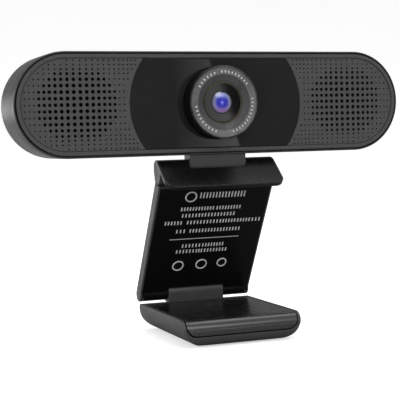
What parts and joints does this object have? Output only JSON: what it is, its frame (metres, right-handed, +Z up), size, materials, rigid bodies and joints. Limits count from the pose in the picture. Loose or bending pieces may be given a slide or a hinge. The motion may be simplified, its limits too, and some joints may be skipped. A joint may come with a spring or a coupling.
{
  "type": "webcam",
  "caption": "Bar-shaped webcam head with perforated speaker fields and a protruding centre lens, tilting on a folding plate stand that also clips over a screen edge.",
  "frame": {"origin": "middle of the bounding box, on the surface that the foot stands on", "axes": "+X along the head, -Y is the front that the lens faces, +Z up"},
  "size_m": [0.16, 0.0576, 0.1114],
  "materials": {
    "graphite_shell": "fine satin texture",
    "piano_black": "polished gloss",
    "satin_charcoal": "satin",
    "speckled_grille": "fine speckled texture",
    "satin_black": "satin black",
    "ring_grey": "fine satin",
    "ring_dark": "fine turned satin",
    "accent_gold": "bright turned",
    "black_aluminium": "black anodised",
    "coated_glass": "coated",
    "sensor_face": "polished",
    "circuit_board": "solder mask",
    "chip_body": "matte",
    "socket_ivory": "matte",
    "ribbon_film": "polyimide film",
    "plated_shell": "nickel plated",
    "foam_grey": "foam",
    "speaker_steel": "black painted",
    "speaker_paper": "pulp",
    "coil_copper": "enamelled winding",
    "acoustic_cloth": "woven",
    "soft_rubber": "matte rubber",
    "bush_brass": "turned",
    "zinc_steel": "zinc plated"
  },
  "bodies": {
    "foot": {"foot_shell": "graphite_shell", "foot_insert": "piano_black", "fold_knuckle": "graphite_shell", "knuckle_bushes": "bush_brass", "foot_weight": "zinc_steel", "tripod_insert": "bush_brass", "foot_pad": "soft_rubber", "foot_screws": "zinc_steel"},
    "arm": {"arm_frame": "graphite_shell", "label_panel": "piano_black", "arm_pad": "soft_rubber", "arm_barrels": "piano_black", "fold_pin": "zinc_steel"},
    "clip": {"clip_bracket": "graphite_shell", "lip_plate": "piano_black", "lip_pad": "soft_rubber", "tilt_pin": "zinc_steel", "clip_pins": "zinc_steel"},
    "head": {"rear_housing": "satin_charcoal", "front_bezel": "satin_charcoal", "bezel_screws": "zinc_steel", "front_panel": "speckled_grille", "centre_panel": "piano_black", "grille_cloths": "acoustic_cloth", "lens_hood": "satin_black", "lens_trim_ring": "ring_grey", "lens_inner_cone": "ring_dark", "lens_accent_ring": "accent_gold", "lens_baffle": "satin_black", "lens_front_glass": "coated_glass", "lens_rear_glass": "coated_glass", "lens_barrel": "black_aluminium", "lens_holder": "satin_black", "ir_filter": "coated_glass", "image_sensor": "sensor_face", "camera_board": "circuit_board", "main_board": "circuit_board", "board_screws": "zinc_steel", "holder_screws": "zinc_steel", "processor_chip": "chip_body", "audio_chip": "chip_body", "memory_chip": "chip_body", "ribbon_sockets": "socket_ivory", "ribbon_cable": "ribbon_film", "usb_socket": "plated_shell", "usb_tongue": "satin_black", "speaker_gaskets": "foam_grey", "speaker_frame_left": "speaker_steel", "speaker_frame_right": "speaker_steel", "speaker_surrounds": "soft_rubber", "speaker_cone_left": "speaker_paper", "speaker_cone_right": "speaker_paper", "speaker_coils": "coil_copper", "speaker_magnet_left": "zinc_steel", "speaker_magnet_right": "zinc_steel", "microphone_boots": "soft_rubber", "microphones": "plated_shell", "neck_block": "graphite_shell", "neck_screws": "zinc_steel", "neck_bushes": "bush_brass"}
  },
  "joints": [
    {"name": "fold_hinge", "type": "hinge", "parent": "foot", "child": "arm", "pos_m": [0, 0.025, 0.0141], "axis": [1, 0, 0], "range_deg": [-75, 20]},
    {"name": "clip_hinge", "type": "hinge", "parent": "arm", "child": "clip", "pos_m": [0, -0.00371, 0.06325], "axis": [1, 0, 0], "range_deg": [-35, 60]},
    {"name": "tilt_hinge", "type": "hinge", "parent": "clip", "child": "head", "pos_m": [0, -0.0039, 0.0669], "axis": [1, 0, 0], "range_deg": [-15, 25]}
  ]
}
